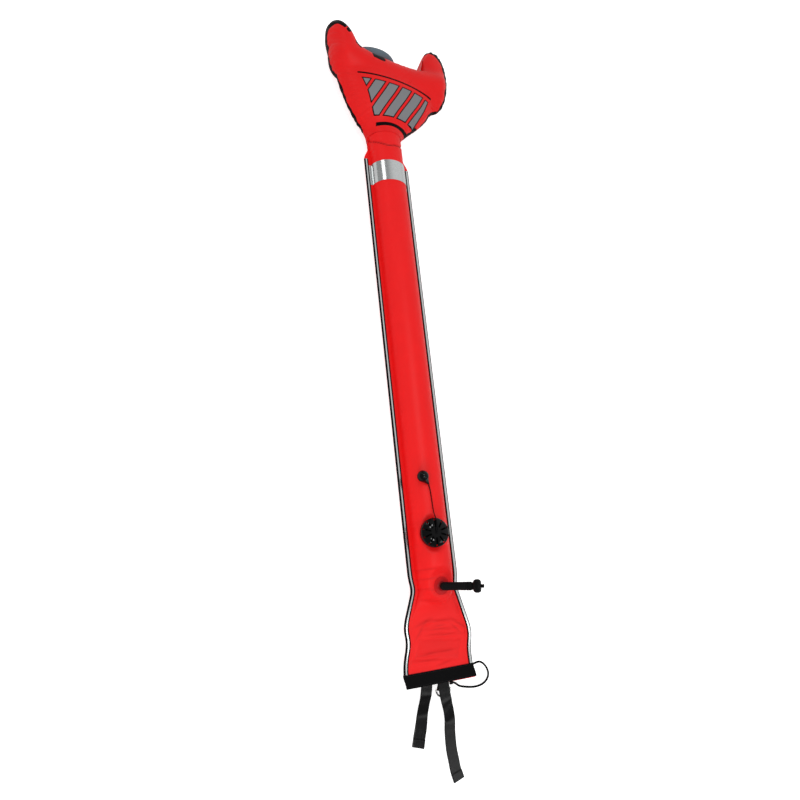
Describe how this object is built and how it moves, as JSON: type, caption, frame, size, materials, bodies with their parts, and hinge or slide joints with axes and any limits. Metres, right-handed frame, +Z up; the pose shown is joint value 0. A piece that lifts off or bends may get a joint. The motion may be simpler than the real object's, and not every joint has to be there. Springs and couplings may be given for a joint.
{
  "type": "surface marker buoy",
  "caption": "Inflatable red surface marker tube with a hammer-shaped head, reflective trim, dump valve, oral inflator, webbing hem with straps, ring and elastic loop.",
  "frame": {"origin": "on the ground plane, in the middle of the flat strip on which the inflated tube rests, half-way along its straight part", "axes": "+Y along the tube towards the head, +Z up out of the front panel, +X to the right of the front panel seen from above with the head up"},
  "size_m": [0.3183, 1.6671, 0.1209],
  "materials": {
    "red_cloth": "satin coated nylon",
    "grey_cloth": "satin coated nylon",
    "inner_cloth": "coated nylon",
    "webbing": "woven webbing",
    "reflective": "glass bead reflective tape",
    "moulding": "satin moulded",
    "gloss_moulding": "gloss moulded",
    "clear_red": "clear welded polyurethane",
    "rubber": "satin",
    "steel": "drawn wire",
    "cord": "braided"
  },
  "bodies": {
    "buoy": {"tube_front_panel": "red_cloth", "tube_back_panel": "red_cloth", "head_front_panel": "red_cloth", "head_back_panel": "red_cloth", "crown_dome": "grey_cloth", "left_edge_binding": "webbing", "right_edge_binding": "webbing", "left_reflective_strip": "reflective", "right_reflective_strip": "reflective", "top_reflective_band": "reflective", "hem_band_front": "webbing", "hem_band_back": "webbing", "inlet_baffle_front": "inner_cloth", "inlet_baffle_back": "inner_cloth", "dump_valve_flange": "moulding", "dump_valve_gasket": "rubber", "dump_valve_body": "moulding", "dump_valve_cap": "gloss_moulding", "dump_valve_spring": "steel", "inflator_flange": "clear_red", "inflator_backing_ring": "moulding", "d_ring_tab": "webbing", "bungee_loop": "cord", "bungee_ferrule": "moulding"},
    "poppet": {"dump_valve_poppet": "moulding", "dump_valve_seal": "rubber", "pull_cord": "cord", "pull_knob": "gloss_moulding"},
    "inflator": {"inflator_hose": "rubber", "inflator_valve_body": "moulding", "inflator_retainer": "moulding", "inflator_spring": "steel"},
    "mouthpiece": {"inflator_mouthpiece": "moulding", "inflator_check_disc": "rubber"},
    "lock_ring": {"inflator_lock_ring": "moulding"},
    "ring": {"d_ring": "steel"},
    "short_strap_body": {"short_strap": "webbing"},
    "long_strap_body": {"long_strap": "webbing"}
  },
  "joints": [
    {"name": "dump_poppet_pull", "type": "slide", "parent": "buoy", "child": "poppet", "axis": [-0.225, 0, 0.9744], "range_m": [0, 0.004], "stiffness_N_per_m": 450, "springref_m": -0.004, "deforming": ["dump_valve_spring"]},
    {"name": "inflator_lean", "type": "hinge", "parent": "buoy", "child": "inflator", "pos_m": [0.004, -0.34139, 0.06828], "axis": [0, 0.9895, 0.1444], "range_deg": [-110, 10]},
    {"name": "mouthpiece_push", "type": "slide", "parent": "inflator", "child": "mouthpiece", "axis": [-0.766, 0.0928, -0.6361], "range_m": [0, 0.0025], "stiffness_N_per_m": 900, "springref_m": -0.003, "deforming": ["inflator_spring"]},
    {"name": "lock_ring_turn", "type": "hinge", "parent": "mouthpiece", "child": "lock_ring", "pos_m": [0.05218, -0.34722, 0.10829], "axis": [0.766, -0.0928, 0.6361], "range_deg": [-360, 360]},
    {"name": "d_ring_swing", "type": "hinge", "parent": "buoy", "child": "ring", "pos_m": [0.0082, -0.531, 0.013], "axis": [1, 0, 0], "range_deg": [0, 85]},
    {"name": "short_strap_swing", "type": "hinge", "parent": "buoy", "child": "short_strap_body", "pos_m": [-0.031, -0.5216, 0.02], "axis": [-1, 0, 0], "range_deg": [-60, 85]},
    {"name": "long_strap_swing", "type": "hinge", "parent": "buoy", "child": "long_strap_body", "pos_m": [0.0065, -0.5216, 0.02], "axis": [-1, 0, 0], "range_deg": [0, 85]}
  ]
}
